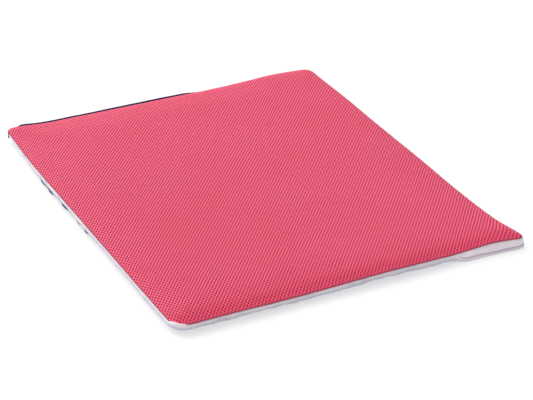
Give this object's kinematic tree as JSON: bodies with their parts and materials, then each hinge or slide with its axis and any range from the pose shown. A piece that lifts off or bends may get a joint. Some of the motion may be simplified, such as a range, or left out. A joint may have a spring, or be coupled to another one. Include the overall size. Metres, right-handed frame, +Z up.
{
  "type": "ventilated laptop pad",
  "caption": "Flat near-square padded mat with an open mesh top over a removable core, soft edge roll, and a zipped rear wall.",
  "frame": {"origin": "centre of the flat underside, where the pad rests", "axes": "+Z up through the pad, X along the front edge, +Y towards the zipped rear edge"},
  "size_m": [0.4, 0.4534, 0.018],
  "materials": {
    "mesh_pink": "open spacer-mesh knit, semi-matt",
    "panel_navy": "plain-woven polyester, matt",
    "welt_white": "soft coated cloth, slight sheen",
    "band_white": "soft coated cloth, slight sheen",
    "thread_white": "spun polyester thread",
    "thread_navy": "spun polyester thread",
    "core_foam": "open-cell foam",
    "liner_white": "spunbond nonwoven",
    "tape_navy": "woven zip tape",
    "teeth_navy": "nylon monofilament",
    "zip_metal": "pressed metal",
    "slider_enamel": "enamelled zinc, semi-gloss",
    "label_white": "satin tape, blank"
  },
  "bodies": {
    "cover": {"top_panel": "mesh_pink", "bottom_panel": "panel_navy", "edge_welt_low": "welt_white", "edge_welt_raised": "welt_white", "side_band_right": "band_white", "side_band_left": "band_white", "top_seam_thread": "thread_white", "bottom_seam_thread": "thread_white", "core_pad": "core_foam", "core_liner_upper": "liner_white", "core_liner_lower": "liner_white", "zip_tape_upper": "tape_navy", "zip_tape_lower": "tape_navy", "zip_teeth_upper": "teeth_navy", "zip_teeth_lower": "teeth_navy", "zip_stitching": "thread_navy", "zip_top_stops": "zip_metal", "zip_bottom_stop": "zip_metal", "zip_end_tab_left": "tape_navy", "zip_end_tab_right": "tape_navy", "care_label": "label_white"},
    "slider": {"zip_slider": "slider_enamel"},
    "pull": {"zip_pull_tab": "slider_enamel"}
  },
  "joints": [
    {"name": "zip_slide", "type": "slide", "parent": "cover", "child": "slider", "axis": [1, 0, 0], "range_m": [0, 0.206]},
    {"name": "pull_swing", "type": "hinge", "parent": "slider", "child": "pull", "pos_m": [-0.1649, 0.22705, 0.0087], "axis": [0, 0, 1], "range_deg": [0, 175]}
  ]
}
